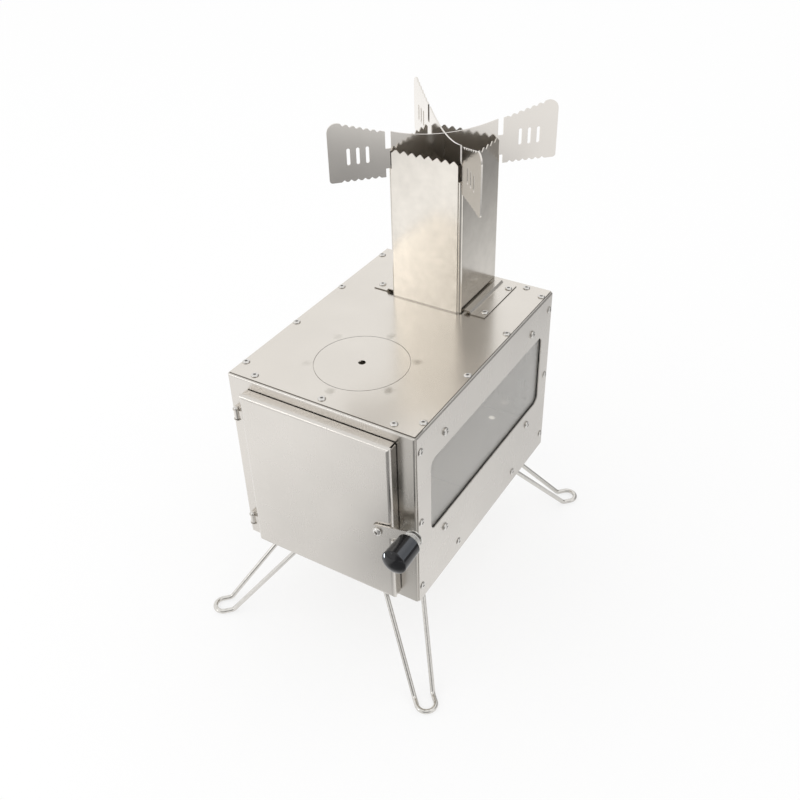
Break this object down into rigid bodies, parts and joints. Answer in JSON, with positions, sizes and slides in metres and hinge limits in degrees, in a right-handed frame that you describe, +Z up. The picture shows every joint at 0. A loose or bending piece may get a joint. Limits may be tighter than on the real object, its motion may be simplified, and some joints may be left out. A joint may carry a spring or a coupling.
{
  "type": "camping rocket stove",
  "caption": "Folding wood-burning camp stove: sheet firebox with glass side window, latched door, lift-off cooking lid, square chimney with crossed pot supports and wire hairpin legs.",
  "frame": {"origin": "on the ground under the middle of the bounding box, legs unfolded and door shut", "axes": "+X to the right seen from the door, +Y to the rear, +Z up"},
  "size_m": [0.275, 0.3759, 0.4819],
  "materials": {
    "sheet_steel": "satin",
    "fastener_steel": "polished",
    "wire_steel": "bright drawn",
    "glass": "clear",
    "gasket": "matte woven rope",
    "knob": "glossy"
  },
  "bodies": {
    "body": {"top_plate": "sheet_steel", "right_side_panel": "sheet_steel", "left_side_panel": "sheet_steel", "front_frame": "sheet_steel", "rear_panel": "sheet_steel", "floor_tray": "sheet_steel", "front_hearth_plate": "sheet_steel", "rear_hearth_plate": "sheet_steel", "lid_support_ring": "sheet_steel", "left_rail": "sheet_steel", "right_rail": "sheet_steel", "upper_window_retainer": "sheet_steel", "lower_window_retainer": "sheet_steel", "upper_hinge_bracket": "sheet_steel", "lower_hinge_bracket": "sheet_steel", "latch_keeper": "sheet_steel", "front_left_leg_bracket": "sheet_steel", "front_right_leg_bracket": "sheet_steel", "rear_left_leg_bracket": "sheet_steel", "rear_right_leg_bracket": "sheet_steel", "window_gasket": "gasket", "window_glass": "glass", "window_screws": "fastener_steel", "window_nuts": "fastener_steel", "top_rivets": "fastener_steel", "left_side_rivets": "fastener_steel", "right_side_rivets": "fastener_steel", "rail_rivets": "fastener_steel", "hinge_pins": "fastener_steel"},
    "door": {"door_pan": "sheet_steel", "upper_door_strap": "sheet_steel", "lower_door_strap": "sheet_steel", "latch_screw": "fastener_steel", "latch_nut": "fastener_steel", "latch_washer": "fastener_steel"},
    "latch": {"latch_lever": "sheet_steel", "knob": "knob", "knob_stud": "fastener_steel", "knob_spring": "wire_steel", "spring_seat": "fastener_steel"},
    "lid": {"cooking_lid": "sheet_steel"},
    "chimney": {"chimney_front_shell": "sheet_steel", "chimney_rear_shell": "sheet_steel"},
    "pot_support_lower": {"lower_pot_support": "sheet_steel"},
    "pot_support_upper": {"upper_pot_support": "sheet_steel"},
    "leg_front_left": {"front_left_leg": "wire_steel"},
    "leg_front_right": {"front_right_leg": "wire_steel"},
    "leg_rear_left": {"rear_left_leg": "wire_steel"},
    "leg_rear_right": {"rear_right_leg": "wire_steel"}
  },
  "joints": [
    {"name": "door_swing", "type": "hinge", "parent": "body", "child": "door", "pos_m": [-0.0895, -0.13971, 0.196], "axis": [0, 0, -1], "range_deg": [0, 170]},
    {"name": "latch_lift", "type": "hinge", "parent": "door", "child": "latch", "pos_m": [0.0671, -0.14826, 0.1895], "axis": [0, -1, 0], "range_deg": [0, 60]},
    {"name": "lid_lift", "type": "slide", "parent": "body", "child": "lid", "axis": [0, 0, 1], "range_m": [0, 0.06]},
    {"name": "chimney_slide", "type": "slide", "parent": "body", "child": "chimney", "axis": [0, -1, 0], "range_m": [0, 0.062]},
    {"name": "lower_support_lift", "type": "slide", "parent": "chimney", "child": "pot_support_lower", "axis": [0, 0, 1], "range_m": [0, 0.05]},
    {"name": "upper_support_lift", "type": "slide", "parent": "pot_support_lower", "child": "pot_support_upper", "axis": [0, 0, 1], "range_m": [0, 0.05]},
    {"name": "front_right_fold", "type": "hinge", "parent": "body", "child": "leg_front_right", "pos_m": [0.0465, -0.08801, 0.112], "axis": [0.7071, 0.7071, 0], "range_deg": [0, 133]},
    {"name": "rear_left_fold", "type": "hinge", "parent": "body", "child": "leg_rear_left", "pos_m": [-0.0465, 0.09699, 0.112], "axis": [-0.7071, -0.7071, 0], "range_deg": [0, 133]},
    {"name": "front_left_fold", "type": "hinge", "parent": "body", "child": "leg_front_left", "pos_m": [-0.0465, -0.08801, 0.112], "axis": [0.7071, -0.7071, 0], "range_deg": [0, 125]},
    {"name": "rear_right_fold", "type": "hinge", "parent": "body", "child": "leg_rear_right", "pos_m": [0.0465, 0.09699, 0.112], "axis": [-0.7071, 0.7071, 0], "range_deg": [0, 125]}
  ]
}
